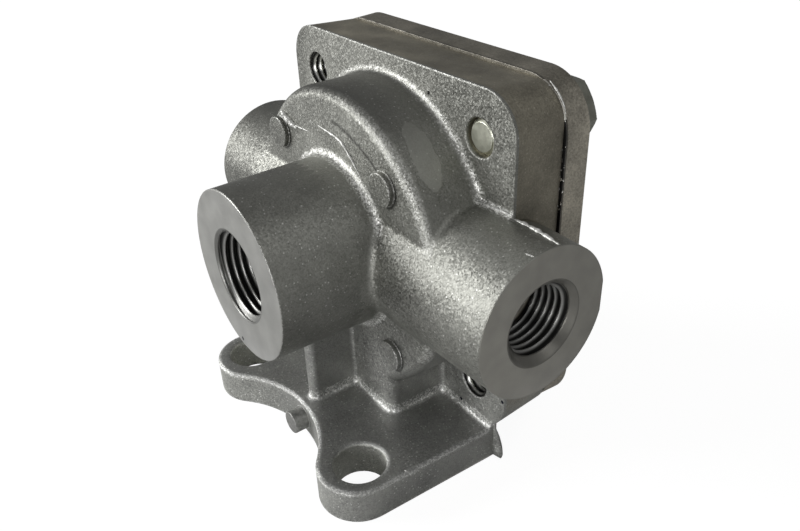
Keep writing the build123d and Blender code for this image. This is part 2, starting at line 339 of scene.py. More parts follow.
# Shot-blasted die casting: small facets that glint, darker blotches, brighter machined faces, worn
# edges, painted shade in the thread roots and a dark joint between body and cover, with painted
# highlight on bright bands and painted light and shade by region and by side. Lengths are in
# millimetres, and the painted light and shade says by which share the colour gets lighter or darker
# in a region
casting = {
    "body": {
        "dark": (0.193, 0.194, 0.176), "light": (0.465, 0.468, 0.43), "wearAndHighlight": (0.88, 0.88, 0.85),
        "stain": (0.98, 0.91, 0.80), "grain": 4000, "grainDepth": 0.05, "facets": 4000,
        "tilt": 0.34, "specks": 1350, "few": 1.30, "blotch": 75, "roughness": (0.44, 0.58),
        "edge": 0.42, "paintedSideLight": 0.84,
    },
    "cover": {
        "dark": (0.19, 0.178, 0.150), "light": (0.38, 0.357, 0.30), "wearAndHighlight": (0.66, 0.63, 0.57),
        "stain": (1.0, 1.0, 1.0), "grain": 3000, "grainDepth": 0.03, "facets": 3600, "tilt": 0.16,
        "specks": 800, "few": 1.55, "blotch": 55, "roughness": (0.46, 0.60), "edge": 0.22,
        "paintedSideLight": 1.65,
    },
    "metallic": 0.9,
    "mix": {"facet": 0.22, "grain": 0.40, "blotch": 0.50, "middle": 0.31, "ramp": (0.38, 0.80)},
    "blast": {"facing": (0.3, 0.8), "calm": 0.55},
    "bump": {"grain": 0.6, "machined": 0.1},
    "sideFacing": (0.5, 0.95),
    "wear": {
        "edge": (0.985, 0.90), "fleck": (0.35, 0.75, 0.15, 1.0), "share": 0.75, "dot": (0.22, 0.12),
        "blotchShare": 1.6, "dotShade": 0.75, "dotFade": -0.45, "footEdge": 1.50, "leafFrom": 28.6,
    },
    "ports": {
        "face": (0.50, 0.50, 0.475), "sideFace": (0.425, 0.415, 0.375), "skin": 0.03,
        "crest": (0.50, 0.50, 0.48), "groove": (0.05, 0.05, 0.047), "mouthPaintedShade": -0.45,
        "supplyRadius": 8.6, "supplyMouth": -7.85, "supplyEnd": 9.5, "supplyRoot": (7.48, 7.9),
        "sideRadius": 7.6, "sideMouth": 40.3, "sideEnd": 26, "sideRoot": (5.82, 6.25), "beyond": 36,
        "ringScale": 260, "ringShade": (0.5, 0.75), "ringRoughness": (0.20, 0.28),
    },
    "joint": {
        "half": 0.11, "shade": (0.02, 0.02, 0.02), "darkBelow": 65.5, "bare": (-26.0, -9.0),
        "bareStep": (0.0, 0.26), "cornerFrom": 26.3, "cornerAbove": 65.5,
        "cornerStep": (-0.04, 0.36), "flangeHalf": 32.6, "dullStep": (-0.05, 0.45),
        "nickStep": (-0.25, 0.3),
        "bridgedOver": 0.44, "nickedOver": 0.63, "dull": 0.7, "dullOnTop": 0.55,
    },
    "flange": {"behindFront": 0.6, "aboveFoot": 1.5, "half": 33},
    "boss": {"around": (14.0, 15.6), "y": (-8.6, 10.6), "under": (38, 45), "above": 46},
    # Painted light and shade: by which share each region's colour gets lighter or darker
    "paintedLightShares": {
        "leftBoss": -0.24, "low": 0.30, "front": -0.12, "domeTop": -0.40, "boss": -0.34,
        "leftEar": 0.60, "holeWall": 0.5,
    },
    "regions": {
        "low": (20, 32), "toLeft": (-4, 10), "leftBoss": (-30, -25), "leftEar": (-20, -5),
        "upright": (0.6, 0.95), "frontFacing": (0.85, 0.98), "front": (5, 24.5),
        "domeTop": (60, 66.5), "moreToLeft": 0.5,
    },
    "lowBlue": 0.015,
    # Bands of painted highlight along the fillets
    "highlightBands": {
        "wide": 1.45, "footWide": 2.0, "bossRadius": 15.35, "sideRadius": 13.0, "ragged": 0.7,
        "aboveColumn": (25, 90), "rimFrom": (0, 12, 0.075, 0.5), "rootFrom": (2, 16, 0.5, 1.0),
    },
    "stains": {"scale": 130, "contrast": 1.3, "least": 0.34, "brownFrom": (11, 18)},
    "pinMarks": {
        "places": ((-18.3, 15.7), (14.9, 15.7), (15.1, -17.0)), "shade": 0.30, "ring": (3.0, 3.4),
        "y": (10.95, 12.0), "right": (0.6, 5),
    },
    "footHole": {"x": 20.6, "rim": 6.6, "wall": 5.0, "rimWear": -0.75},
    "footSlope": {"at": 21.5, "perY": 0.31, "tilt": 0.28, "z": (6.9, 7.15)},
    "creaseShadow": {
        "x": (0.4, 13.1), "z": 62.2, "fall": 0.239, "bend": 0.022, "bendTo": 7, "half": 0.576,
        "shade": 0.42,
    },
    "patch": {
        "angle": 49.0, "y": 17.3, "length": 6.4, "width": 2.3, "slant": -0.10, "ripple": 420,
        "rippleDepth": 0.9, "edge": (1.50, 1.36), "share": 0.55, "calm": 0.8,
    },
    "pits": (
        (11.4, 23.85, 67.1, 0.32), (31.4, 23.9, 15.6, 0.36), (20.2, 23.85, 8.9, 0.36),
        (-2.2, -8.75, 25.4, 0.40),
    ),
}


# A point of the casting: its place, how far it faces along each axis, its distances from the
# valve's axes, and the textures that the masks share
def readPoint(tree, look):
    place = Signal(put(tree, "TexCoord"), "Object")
    normal = Signal(put(tree, "NewGeometry"), "True Normal")
    x, y, z = parts(place)
    sideways, frontways, upwards = (abs(part) for part in parts(normal))
    facet = work("TexVoronoi", None, {"Vector": place, "Scale": look["facets"]}, "Color")
    height = valve["axisHeight"]
    return SimpleNamespace(
        place=place, normal=normal, x=x, y=y, z=z, reach=abs(x),
        sideways=sideways, frontways=frontways, upwards=upwards,
        fromDome=axisDistance(place, 1, (0, 0, height)),
        fromBoss=axisDistance(place, 1, (0, 0, height + valve["supplyRise"])),
        fromSide=axisDistance(place, 0, (0, valve["sideAxis"], height)),
        fromHole=axisDistance(vector("ABSOLUTE", place), 2, (casting["footHole"]["x"], 0, 0)),
        grain=noise(place, look["grain"], 3.0, 0.62),
        coarse=noise(place, look["grain"] * 0.38, 2.0),
        blotch=noise(place, look["blotch"], 5.0, 0.6),
        facet=facet, shade=parts(facet)[0],
    )


# Painted highlight: bright bands of lighter colour on the dome's rounded rim, the roots of the
# dome, the front boss and the side bosses, and the fillets that stand on the foot, where rounded
# surfaces catch the light. Noise makes their borders ragged
def paintedHighlightMask(p, highlightBands):
    wide, soft = highlightBands["wide"], 0.3
    shift = (p.coarse - 0.5) * (highlightBands["ragged"] * 2 * mm)
    dome, boss, side = valve["domeRadius"], highlightBands["bossRadius"], highlightBands["sideRadius"]
    rim, root, foot = valve["domeFace"], valve["flangeFront"], valve["footTop"]
    aboveColumn = softBand(p.z, *highlightBands["aboveColumn"])
    rimShare, rootShare = (
        aboveColumn * ease(p.x, start * mm, end * mm, first, last)
        for start, end, first, last in (highlightBands["rimFrom"], highlightBands["rootFrom"])
    )
    mask = softBand(p.z + shift, foot + 0.35, foot + highlightBands["footWide"])
    for away, across, along, share in (
        (p.fromDome, (dome - wide, dome + soft), (rim - soft, rim + wide), rimShare),
        (p.fromDome, (dome + 0.2, dome + wide), (root - wide, root + soft), rootShare),
        (p.fromBoss, (boss + 0.1, boss + wide + 0.2), (rim - wide, rim + soft), 1.0),
        (p.fromSide, (side + 0.35, side + wide), (root - wide, root + soft), 1.0),
    ):
        mask = mask | softBand(away + shift, *across) * softBand(p.y, *along) * share
    return mask


# Worn edges, where the rounded normal leaves the true one, the painted highlight bands, and single
# bright dots
def wearAndHighlightMask(p, look, wear, soft, highlightBands, onFlange):
    wearAndHighlight = softEase(vector("DOT_PRODUCT", soft, p.normal, "Value"), *wear["edge"])
    if highlightBands:
        hole = casting["footHole"]
        atHole = (p.fromHole < hole["rim"] * mm) * (p.z < (valve["footTop"] + 0.1) * mm)
        wearAndHighlight = wearAndHighlight * (atHole * hole["rimWear"] + 1.0) * (p.x < wear["leafFrom"] * mm) | highlightBands
    wearAndHighlight = wearAndHighlight * softEase(p.shade, *wear["fleck"])
    dots = put(p.x.tree, "TexVoronoi", None, {"Vector": p.place, "Scale": look["specks"]})
    dot = softEase(Signal(dots, "Distance"), *wear["dot"])
    chance = parts(Signal(dots, "Color"))[0]
    chosen = p.blotch * wear["blotchShare"] + chance > look["few"]
    dotShade = onFlange * wear["dotFade"] + wear["dotShade"]
    return (wearAndHighlight | dot * chosen * dotShade) * wear["share"]


# Masks for the machined port faces, the mouths and the threads inside, and how far up its thread a
# point lies: 0 on the crest and 1 at the root
def portMasks(p, ports):
    before, after = -20, 50
    supply, side = p.fromBoss < ports["supplyRadius"] * mm, p.fromSide < ports["sideRadius"] * mm
    face = between(p.y, before, valve["frontFace"] + ports["skin"])
    face = face | between(p.reach, valve["sideFace"] - ports["skin"], after)
    mouths = supply * between(p.y, before, ports["supplyMouth"])
    mouths = mouths | side * between(p.reach, ports["sideMouth"], after)
    supply = supply * between(p.y, before, ports["supplyEnd"])
    side = side * between(p.reach, ports["sideEnd"], after)
    supplyRoot, sideRoot = (
        ease(away, crest * mm, root * mm)
        for away, (crest, root) in (
            (p.fromBoss, ports["supplyRoot"]), (p.fromSide, ports["sideRoot"]),
        )
    )
    return face | mouths, mouths, (supply | side) * ~mouths, mixed(supply, sideRoot, supplyRoot)


# 1 inside the smooth light patch on the dome's side: an ellipse over the angle round it and y
def patchMask(p, patch):
    angle = p.x.maths("ARCTAN2", p.z - valve["axisHeight"] * mm, p.x)
    along = (angle - math.radians(patch["angle"])) * (valve["domeRadius"] / patch["length"])
    aside = (p.y - patch["y"] * mm) / (patch["width"] * mm)
    aside = along * (patch["slant"] * patch["length"] / patch["width"]) + aside
    ripple = noise(p.place, patch["ripple"], 3.0) * patch["rippleDepth"]
    inside = softEase(along * along + aside * aside + ripple, *patch["edge"])
    return inside * between(p.fromDome, valve["domeRadius"] - 0.4, valve["domeRadius"] + 0.15)


# 1 along a painted shadow line for a crease on the dome's face:
# z = z0 - fall * s - bend * s * (s - bendTo), s = x - x0
def creaseShadowMask(p, creaseShadow):
    first, last = creaseShadow["x"]
    along = p.x - first * mm
    curve = along * (along - creaseShadow["bendTo"] * mm) * (-creaseShadow["bend"] / mm)
    line = along * -creaseShadow["fall"] + creaseShadow["z"] * mm + curve
    near = softEase(abs(p.z - line), creaseShadow["half"] * mm, 0.0)
    onFace = between(p.y, valve["domeFace"] - 0.2, valve["domeFace"] + 0.2)
    return near * onFace * between(p.x, first, last)


# Machined faces and threads, with painted shade in the mouths and the thread roots, the patch, the
# crease's painted shadow and the pits as dots of painted shade. The last of the three that come
# back is 1 where the skin is as cast
def addPorts(p, look, colour, roughness):
    ports, patch = casting["ports"], casting["patch"]
    (shadeSpan, shadeLeast), (roughSpan, roughLeast) = ports["ringShade"], ports["ringRoughness"]
    face, mouths, inside, root = portMasks(p, ports)
    onPatch = patchMask(p, patch)
    rings = noise(p.place, ports["ringScale"], 5.0)
    # The rings are marks of the machining; the mouths get painted shade, darker by a share
    ringsAndMouthShade = (rings * shadeSpan + shadeLeast) * (mouths * ports["mouthPaintedShade"] + 1.0)
    # The side ports' faces are painted darker than the front port's, as shade
    faceColour = blend(p.reach > ports["beyond"] * mm, ports["face"], ports["sideFace"])
    colour = blend(onPatch * patch["share"], colour, look["light"])
    # The crease's painted shadow darkens the colour to a share
    creaseShaded = scaled(colour, casting["creaseShadow"]["shade"])
    colour = blend(creaseShadowMask(p, casting["creaseShadow"]), colour, creaseShaded)
    colour = blend(face, colour, scaled(faceColour, ringsAndMouthShade))
    # Painted shade in the threads: from the crest's colour to a near-black groove at the root
    colour = blend(inside, colour, blend(root, ports["crest"], ports["groove"]))
    machined = face | inside
    roughness = mixed(machined, roughness, rings * roughSpan + roughLeast)
    # Pits: near-black dots of painted shade, where the holes would be dark
    for *centre, size in casting["pits"]:
        off = vector("DISTANCE", p.place, tuple(v * mm for v in centre), "Value")
        colour = blend(off < size * mm, colour, casting["joint"]["shade"])
    return colour, roughness, ~(machined | onPatch * patch["calm"])


# Painted light and shade on the body, region by region: darker on the left boss, the front-facing
# faces, the dome's top and the front boss below and at its upper left, lighter on the low part's
# upright faces, the left ear and the foot hole's wall; and painted shadows beside its pin marks
def addPaintedLightAndShade(p, colour, onBoss):
    foot, dome = valve["footTop"], valve["domeRadius"]
    where, boss, hole = casting["regions"], casting["boss"], casting["footHole"]
    low = fadeOut(p.z, *where["low"])
    toLeft = fadeOut(p.x, *where["toLeft"])
    ear = fadeOut(p.x, *where["leftEar"]) * (p.z < (foot + 0.1) * mm)
    domeTop = softEase(p.z, *(v * mm for v in where["domeTop"]))
    domeTop = domeTop * softBand(p.fromDome, dome - 1.2, dome + 0.3)
    bossEnds = fadeOut(p.z, *boss["under"]) | toLeft * (p.z > boss["above"] * mm)
    wall = p.fromHole < hole["wall"] * mm
    regions = {
        "leftBoss": fadeOut(p.x, *where["leftBoss"]) * ~low,
        "low": low * ease(p.upwards, *where["upright"], 1.0, 0.0),
        "front": ease(p.frontways, *where["frontFacing"]) * ~low * between(p.y, *where["front"]),
        "domeTop": domeTop * (toLeft * where["moreToLeft"] + 1.0),
        "boss": onBoss * bossEnds,
        "leftEar": ear * ~softBand(p.z, foot, 9),
        "holeWall": wall * (p.z < (foot - 0.2) * mm),
    }
    paintedLift = 1.0
    for name, mask in regions.items():
        paintedLift = mask * casting["paintedLightShares"][name] + paintedLift
    # A touch of blue with the painted light of the low part
    blue = work("CombineXYZ", None, {2: low * casting["lowBlue"]})
    colour = vector("ADD", scaled(colour, paintedLift), blue)
    marks = casting["pinMarks"]
    shaded = scaled(colour, marks["shade"])
    for x, z in marks["places"]:
        fromPin = axisDistance(p.place, 1, (x, 0, valve["axisHeight"] + z))
        shadow = softBand(fromPin, *marks["ring"]) * between(p.y, *marks["y"])
        shadow = shadow * between(p.x, *(x + right for right in marks["right"]))
        colour = blend(shadow, colour, shaded)
    return colour


# The joint: a dark gap and a dull step beside it, bridged by bare metal at the top left and at the
# top right corner, and nicked at the right
def addJoint(p, look, colour, joint):
    half, dullOnTop = joint["flangeHalf"], joint["dullOnTop"]
    past = p.y - valve["seam"] * mm
    onSide, onFlange = p.z < joint["darkBelow"] * mm, between(p.x, -half, half)
    atRight = between(p.x, joint["cornerFrom"], half)
    atCorner = atRight * (p.z > joint["cornerAbove"] * mm)
    bare = between(p.x, *joint["bare"]) * between(past, *joint["bareStep"])
    bare = bare | atCorner * between(past, *joint["cornerStep"])
    dull = between(past, *joint["dullStep"]) * (onSide * (1 - dullOnTop) + dullOnTop) * ~bare
    dull = dull * joint["dull"] * onFlange
    gap = (abs(past) < joint["half"] * mm) * onSide * onFlange
    bridged = bare * (p.coarse > joint["bridgedOver"])
    nicked = (p.coarse > joint["nickedOver"]) * atRight * between(past, *joint["nickStep"])
    colour = blend(dull, colour, joint["shade"])
    colour = blend(gap, colour, joint["shade"])
    return blend(bridged | nicked, colour, look["wearAndHighlight"])


# The foot's top leans down beyond a slanting line
def footLean(p, slope):
    beyond = (p.x > p.y * slope["perY"] + slope["at"] * mm) * between(p.z, *slope["z"])
    return work("CombineXYZ", None, {0: beyond * slope["tilt"]})


def castMaterial(name, look, onBody):
    material, tree = newMaterial(name)
    p = readPoint(tree, look)
    mix, wear, stains, flange = (casting[k] for k in ("mix", "wear", "stains", "flange"))
    edge, highlightBands, blast, plain = look["edge"] * mm, None, 1.0, 1.0
    if onBody:
        highlightBands = paintedHighlightMask(p, casting["highlightBands"])
        facing, calm = casting["blast"]["facing"], casting["blast"]["calm"]
        blast = ease(p.frontways, *facing, calm, 1.0) | highlightBands
        footEdge = (wear["footEdge"] - look["edge"]) * mm
        edge = (p.z < (valve["footTop"] + 0.2) * mm) * footEdge + edge
    soft = Signal(put(tree, "Bevel", {"samples": 6}, {"Radius": edge}))

    speck = p.grain * mix["grain"] + (p.shade * mix["facet"] - mix["middle"])
    tone = p.blotch * mix["blotch"] + (speck * blast + mix["middle"])
    colour = ramp(tone, look, *mix["ramp"])
    roughness = mottledRoughness(p.blotch, look)
    onFlange = p.y > (valve["flangeFront"] + flange["behindFront"]) * mm
    onFlange = onFlange * (p.z > (valve["footTop"] + flange["aboveFoot"]) * mm)
    onFlange = onFlange * between(p.x, -flange["half"], flange["half"])
    # The wear colour goes on worn edges and dots, and on the bands as painted highlight
    wearAndHighlight = wearAndHighlightMask(p, look, wear, soft, highlightBands, onFlange)
    colour = blend(wearAndHighlight, colour, look["wearAndHighlight"])
    if onBody:
        colour, roughness, plain = addPorts(p, look, colour, roughness)

    stained = noise(p.place, stains["scale"], 4.0, 0.6) * stains["contrast"] + stains["least"]
    stained = vector("MULTIPLY", colour, scaled(look["stain"], stained))
    brown = ease(p.z, *(v * mm for v in stains["brownFrom"]))
    colour = blend(onFlange * brown, colour, stained)
    # Painted light and shade by side: faces that look to the sides are darker on the body and
    # lighter on the cover, though not on the front boss
    sideLight = ease(p.sideways, *casting["sideFacing"], 1.0, look["paintedSideLight"])
    if onBody:
        onBoss = between(p.fromBoss, *casting["boss"]["around"])
        onBoss = onBoss * between(p.y, *casting["boss"]["y"])
        colour = addPaintedLightAndShade(p, colour, onBoss)
        sideLight = mixed(onBoss, sideLight, 1.0)
    colour = scaled(addJoint(p, look, colour, casting["joint"]), sideLight)

    tilt = scaled(vector("SUBTRACT", p.facet, (0.5, 0.5, 0.5)), plain * look["tilt"] * blast)
    tilted = vector("ADD", soft, tilt)
    if onBody:
        tilted = vector("ADD", tilted, footLean(p, casting["footSlope"]))
    machined = casting["bump"]["machined"]
    bump = put(tree, "Bump", None, {
        "Height": p.grain * casting["bump"]["grain"] + p.coarse,
        "Strength": (plain * (1 - machined) + machined) * blast,
        "Distance": look["grainDepth"] * mm, "Normal": vector("NORMALIZE", tilted),
    })
    finishMaterial(tree, {
        "Base Color": colour, "Metallic": casting["metallic"], "Roughness": roughness,
        "Normal": bump.outputs[0],
    })
    return material


# Plain steel with a zinc coat, bright spring wire, and the bare metal of small marks, lighter
# partly as painted highlight for their glint
steel = {
    "zinc": {
        "dark": (0.60, 0.61, 0.51), "light": (0.86, 0.87, 0.75), "roughness": (0.30, 0.46),
        "scale": 350, "metallic": 1.0, "head": 0.40,
    },
    "spring": {
        "dark": (0.42, 0.42, 0.42), "light": (0.62, 0.62, 0.62), "roughness": (0.22, 0.34),
        "scale": 700, "metallic": 1.0,
    },
    "thread": {
        "dark": (0.46, 0.46, 0.44), "light": (0.74, 0.74, 0.71), "roughness": (0.24, 0.38),
        "scale": 600, "metallic": 1.0, "groove": (2.80, 3.05, 0.08),
    },
    "stub": {
        "dark": (0.22, 0.22, 0.21), "light": (0.40, 0.40, 0.385), "roughness": (0.44, 0.58),
        "scale": 1400, "metallic": 0.85,
    },
    "skin": {
        "dark": (0.44, 0.44, 0.42), "light": (0.78, 0.78, 0.75), "roughness": (0.36, 0.50),
        "scale": 2200, "metallic": 0.45,
    },
}


# Painted shade: the zinc is darker on the heads behind the cover, and a screw hole's thread is
# darker in its grooves: from the crest's radius to the root's, the colour falls to a share
def steelMaterial(name, look):
    material, tree = newMaterial(name)
    place = Signal(put(tree, "TexCoord"), "Object")
    mottle = noise(place, look["scale"], 5.0, 0.6)
    colour = ramp(mottle, look, 0.34, 0.66)
    if "head" in look:
        behind = parts(place)[1] > (valve["coverBack"] - 0.01) * mm
        colour = blend(behind, colour, scaled(colour, look["head"]))
    if "groove" in look:
        crest, root, shade = look["groove"]
        corner = vector("SUBTRACT", place, (0, 0, valve["axisHeight"] * mm))
        half = valve["screwHalfPitch"]
        away = axisDistance(vector("ABSOLUTE", corner), 1, (half, 0, half))
        colour = scaled(colour, ease(away, crest * mm, root * mm, 1.0, shade))
    soft = put(tree, "Bevel", {"samples": 4}, {"Radius": 0.12 * mm})
    bump = put(tree, "Bump", None, {
        "Height": noise(place, look["scale"] * 9, 2.0), "Distance": 0.01 * mm, "Strength": 1.0,
        "Normal": soft.outputs[0],
    })
    finishMaterial(tree, {
        "Base Color": colour, "Metallic": look["metallic"], "Normal": bump.outputs[0],
        "Roughness": mottledRoughness(mottle, look),
    })
    return material


# Moulded black rubber with a dull skin
rubber = {
    "dark": (0.012, 0.012, 0.012), "light": (0.045, 0.045, 0.044), "skin": 900, "dust": 135,
    "roughness": (0.5, 0.72), "depth": 0.03,
}


def rubberMaterial(name, look):
    material, tree = newMaterial(name)
    place = Signal(put(tree, "TexCoord"), "Object")
    dust = noise(place, look["dust"], 6.0)
    bump = put(tree, "Bump", None, {
        "Height": noise(place, look["skin"], 4.0), "Distance": look["depth"] * mm, "Strength": 0.7,
    })
    finishMaterial(tree, {
        "Base Color": ramp(dust, look, 0.35, 0.75), "Normal": bump.outputs[0],
        "Roughness": mottledRoughness(dust, look),
    })
    return material


bodyMetal = castMaterial("bodyCasting", casting["body"], True)
coverMetal = castMaterial("coverCasting", casting["cover"], False)
zincCoat = steelMaterial("zincCoat", steel["zinc"])
springWire = steelMaterial("springWire", steel["spring"])
blackRubber = rubberMaterial("mouldedRubber", rubber)
threadMetal = steelMaterial("cutThread", steel["thread"])
bareGlintSkin = steelMaterial("bareSkinAndGlint", steel["skin"])
stubSkin = steelMaterial("stubSkin", steel["stub"])


def dress(nodeName, material):
    mesh = frame["nodes"][nodeName].data
    mesh.materials.clear()
    mesh.materials.append(material)


dress("cover", coverMetal)
for nodeName in ("cover_o_ring", "diaphragm", "exhaust_flap"):
    dress(nodeName, blackRubber)
for nodeName in ("spring_seat", "flap_washer", "flap_screw"):
    dress(nodeName, zincCoat)
print("materials made")


# Mesh object from arrays of points and faces (all faces with the same number of corners)
def meshObject(name, points, faces, material):
    mesh = bpy.data.meshes.new(name)
    mesh.vertices.add(len(points))
    mesh.vertices.foreach_set("co", np.asarray(points, dtype=np.float32).ravel())
    faces = np.asarray(faces, dtype=np.int32)
    mesh.loops.add(faces.size)
    mesh.loops.foreach_set("vertex_index", faces.ravel())
    mesh.polygons.add(len(faces))
    starts = np.arange(len(faces), dtype=np.int32) * faces.shape[1]
    mesh.polygons.foreach_set("loop_start", starts)
    mesh.update(calc_edges=True)
    mesh.validate()
    mesh.materials.append(material)
    piece = bpy.data.objects.new(name, mesh)
    bpy.context.scene.collection.objects.link(piece)
    return piece


def finishPiece(piece, body):
    piece.data.shade_smooth()
    piece.data.set_sharp_from_angle(angle=math.radians(30))
    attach(piece, body)


# Angles of equal steps round a circle
def roundSteps(steps):
    return 2 * np.pi * np.arange(steps) / steps


# Rings of points round an axis. Ring i lies heights[i] along the axis and has the radius
# radii[i, j] at the angle 2 pi j / n from the direction across
def ringPoints(origin, along, across, heights, radii):
    along, across = np.array(along, float), np.array(across, float)
    angle = roundSteps(radii.shape[1])[:, None]
    spoke = np.cos(angle) * across + np.sin(angle) * np.cross(along, across)
    return np.array(origin) + heights[:, None, None] * along + radii[:, :, None] * spoke


# Triangles between each ring of points and the next, for rings that turn to the right along the way
def sideFaces(rings, steps):
    i, j = np.meshgrid(np.arange(rings - 1), np.arange(steps), indexing="ij")
    low, lowNext = i * steps + j, i * steps + (j + 1) % steps
    high, highNext = low + steps, lowNext + steps
    return np.stack([low, lowNext, highNext, low, highNext, high], axis=-1).reshape(-1, 3)


# Rings of points closed to a tube. The two ends close on a middle point each
def closedTube(points, ends):
    rings, steps = points.shape[:2]
    ring = np.arange(steps)
    after = (ring + 1) % steps
    last = (rings - 1) * steps
    startCap = np.stack([np.full(steps, rings * steps), after, ring], axis=-1)
    endCap = np.stack([np.full(steps, rings * steps + 1), last + ring, last + after], axis=-1)
    points = np.concatenate([points.reshape(-1, 3), ends])
    return points * mm, np.concatenate([sideFaces(rings, steps), startCap, endCap])


# Closed surface round an axis: the rings as above, and an end point on the axis at either end
def turnedSurface(origin, along, across, heights, radii):
    ends = np.array(origin) + heights[[0, -1], None] * np.array(along, float)
    return closedTube(ringPoints(origin, along, across, heights, radii), ends)


# Tube along a line of points: centre + size * (cos * first + sin * second)
def tubeSurface(centre, size, first, second, steps):
    turn = roundSteps(steps)[:, None]
    rim = np.cos(turn) * first[:, None] + np.sin(turn) * second[:, None]
    return closedTube(centre[:, None] + size * rim, centre[[0, -1]])


# Direction of a line at each of its points
def directions(centre):
    ahead = np.gradient(centre, axis=0)
    return ahead / np.linalg.norm(ahead, axis=1)[:, None]


# Depth of a V thread: 0 on the crest and 1 at the root, with flats on both. The phase is the
# height in pitches less the angle in turns
def threadWave(heights, steps, pitch, flat):
    phase = (heights[:, None] / pitch - roundSteps(steps) / (2 * np.pi)) % 1.0
    slope = np.abs(2 * phase - 1)
    return np.clip((slope - flat) / (1 - 2 * flat), 0, 1)


# Threads cut into the body: each is a tap, a solid with the thread on its outside
tapShape = {
    "pitch": 1.411, "perPitch": 12, "flat": 0.10, "taper": 1 / 32, "start": -0.6, "core": 0.8,
    "coreBeyond": 0.3,
}
sideTap = {"across": (0, 1, 0), "crest": 5.75, "root": 6.85, "length": 11.0, "steps": 112}
threads = {
    "supply": {
        "mouth": (0, valve["frontFace"], valve["axisHeight"] + valve["supplyRise"]),
        "along": (0, 1, 0), "across": (1, 0, 0), "crest": 7.38, "root": 8.40, "length": 13.6,
        "steps": 128,
    },
    "deliveryRight": {
        "mouth": (valve["sideFace"], valve["sideAxis"], valve["axisHeight"]),
        "along": (-1, 0, 0), **sideTap,
    },
    "deliveryLeft": {
        "mouth": (-valve["sideFace"], valve["sideAxis"], valve["axisHeight"]),
        "along": (1, 0, 0), **sideTap,
    },
}


# Tap: radius = crest + (root - crest - taper * depth) * thread wave, drawn in below the bore at
# both ends
def tapSurface(t, s):
    heights = np.arange(s["start"], t["length"], s["pitch"] / s["perPitch"])
    wave = threadWave(heights, t["steps"], s["pitch"], s["flat"])
    depth = (t["root"] - t["crest"]) - s["taper"] * np.clip(heights, 0, None)[:, None]
    fade = np.clip((t["length"] - heights) / s["pitch"], 0, 1)[:, None]
    core = np.full((1, t["steps"]), t["crest"] * s["core"])
    radii = np.concatenate([core, t["crest"] + depth * wave * fade, core])
    heights = np.concatenate([
        [heights[0] - s["coreBeyond"]], heights, [heights[-1] + s["coreBeyond"]],
    ])
    return turnedSurface(t["mouth"], t["along"], t["across"], heights, radii)


# The CAD body, whose corners are joined where they lie within 2 micrometres, and how it is shaded
bodySkin = {"weld": 0.002, "sharp": 26, "weight": 100}


# The node's mesh with its loose triangles joined
def joinedCopy(nodeName, weld):
    source = frame["nodes"][nodeName].data
    places = np.empty(len(source.vertices) * 3)
    source.vertices.foreach_get("co", places)
    source.calc_loop_triangles()
    corners = np.empty(len(source.loop_triangles) * 3, dtype=np.int32)
    source.loop_triangles.foreach_get("vertices", corners)
    places = places.reshape(-1, 3)
    keys = np.round(places / (weld * mm)).astype(np.int64)
    _, first, back = np.unique(keys, axis=0, return_index=True, return_inverse=True)
    triangles = back.ravel()[corners].reshape(-1, 3)
    a, b, c = triangles.T
    return places[first], triangles[(a != b) & (b != c) & (c != a)]


def makeBody(look):
    points, faces = joinedCopy("body", look["weld"])
    skin = meshObject("bodySkin", points, faces, bodyMetal)
    taps = []
    for name, thread in threads.items():
        tap = meshObject(name + "Tap", *tapSurface(thread, tapShape), bodyMetal)
        taps.append(tap)
        cut = skin.modifiers.new(name, "BOOLEAN")
        cut.operation = "DIFFERENCE"
        cut.solver = "MANIFOLD"
        cut.object = tap
    bpy.context.view_layer.update()
    cutSkin = skin.evaluated_get(bpy.context.evaluated_depsgraph_get())
    cutMesh = bpy.data.meshes.new_from_object(cutSkin)
    skin.modifiers.clear()
    skin.data = cutMesh
    for tap in taps:
        bpy.data.objects.remove(tap)
    cutMesh.shade_smooth()
    cutMesh.set_sharp_from_angle(angle=math.radians(look["sharp"]))
    even = skin.modifiers.new("evenShading", "WEIGHTED_NORMAL")
    even.keep_sharp = True
    even.weight = look["weight"]
    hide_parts("body")
    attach(skin, "housing")
    before, after, faceCount = len(points), len(cutMesh.vertices), len(cutMesh.polygons)
    print("body:", before, "points in,", after, "out,", faceCount, "faces")


makeBody(bodySkin)


# Cap screws, numbered as in the CAD: corner of the cover, length under the head, turn of the head
capScrew = {
    "major": 3.17, "pitch": 1.27, "perPitch": 12, "flat": 0.10, "depth": 0.74, "tipChamfer": 0.80,
    "headFlats": 11.1, "headHeight": 4.0, "headChamfer": 30.0, "coneRings": 7, "coneStart": 1.02,
    "top": 0.6, "steps": 96,
    "places": ((1, 1, 15.2, 31.0), (-1, 1, 11.3, 41.0), (-1, -1, 15.2, 22.0), (1, -1, 11.3, 53.0)),
}


